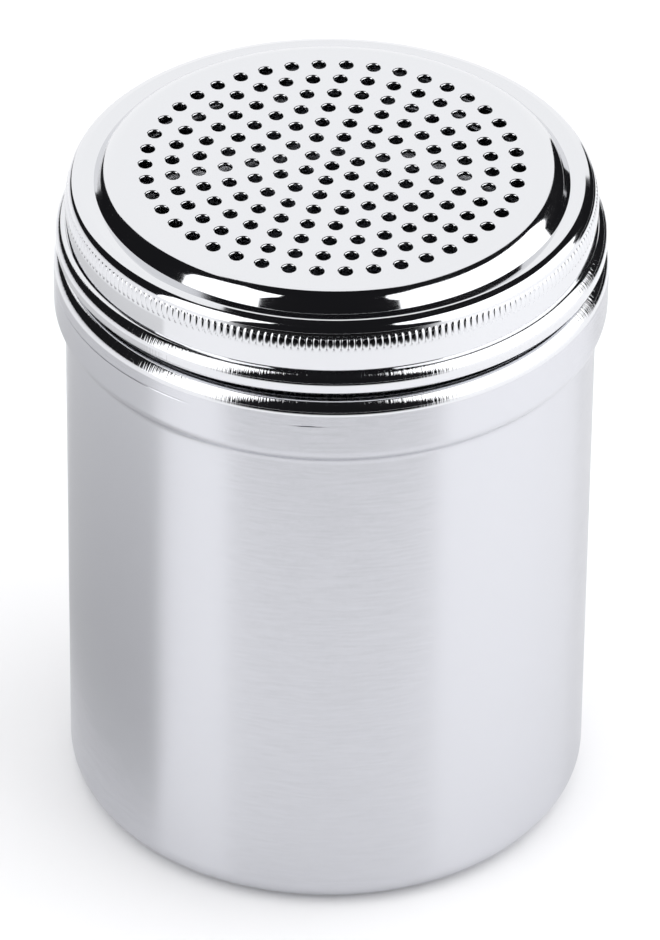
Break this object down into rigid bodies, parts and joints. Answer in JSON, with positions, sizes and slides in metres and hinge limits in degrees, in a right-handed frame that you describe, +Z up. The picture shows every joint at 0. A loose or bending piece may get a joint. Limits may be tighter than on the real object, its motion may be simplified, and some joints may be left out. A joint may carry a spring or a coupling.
{
  "type": "sugar shaker",
  "caption": "Sugar shaker of stainless steel: a round drawn can with a stepped collar, and a pierced lid with a knurled rim that screws down on a threaded neck.",
  "frame": {"origin": "middle of the can's base, on the surface that it stands on", "axes": "+Z up the axis of the can and the lid; +X along one of the straight rows of holes"},
  "size_m": [0.073, 0.073, 0.0957],
  "materials": {
    "brushed_stainless": "satin",
    "drawn_stainless": "satin",
    "polished_stainless": "polished",
    "silicone": "matte"
  },
  "bodies": {
    "can": {"can_body": "brushed_stainless", "neck_ring": "drawn_stainless"},
    "seal": {"lid_seal": "silicone"},
    "lid": {"lid_cap": "polished_stainless", "lid_thread_ring": "drawn_stainless"}
  },
  "joints": [
    {"name": "lid_rise", "type": "slide", "parent": "can", "child": "seal", "axis": [0, 0, 1], "range_m": [0, 0.01]},
    {"name": "lid_turn", "type": "hinge", "parent": "seal", "child": "lid", "pos_m": [0, 0, 0.088], "axis": [0, 0, 1], "range_deg": [0, 900]}
  ],
  "couplings": [
    {"joint": "lid_rise", "follows": "lid_turn", "m_per_rad": 0.00063661}
  ]
}
